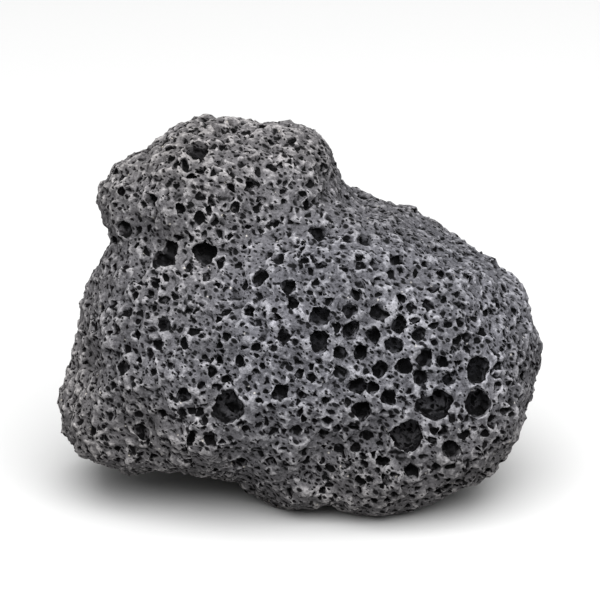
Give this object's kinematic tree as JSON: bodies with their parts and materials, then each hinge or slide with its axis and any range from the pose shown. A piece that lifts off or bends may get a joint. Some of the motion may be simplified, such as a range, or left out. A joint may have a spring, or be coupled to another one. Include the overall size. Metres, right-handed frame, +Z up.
{
  "type": "lava rock",
  "caption": "Loose lump of dark vesicular basalt lava rock with a humped crown, a sloping shoulder, a pitted surface and worn flats to rest on.",
  "frame": {"origin": "on the ground, under the middle of the stone's bounding box", "axes": "+Z up; +X to the right across the stone's broad front face, along its longest side; +Y from the front face to the back"},
  "size_m": [0.077, 0.054, 0.059],
  "materials": {
    "vesicular_basalt": "matte"
  },
  "bodies": {
    "root": {"lava_rock": "vesicular_basalt"}
  },
  "joints": []
}
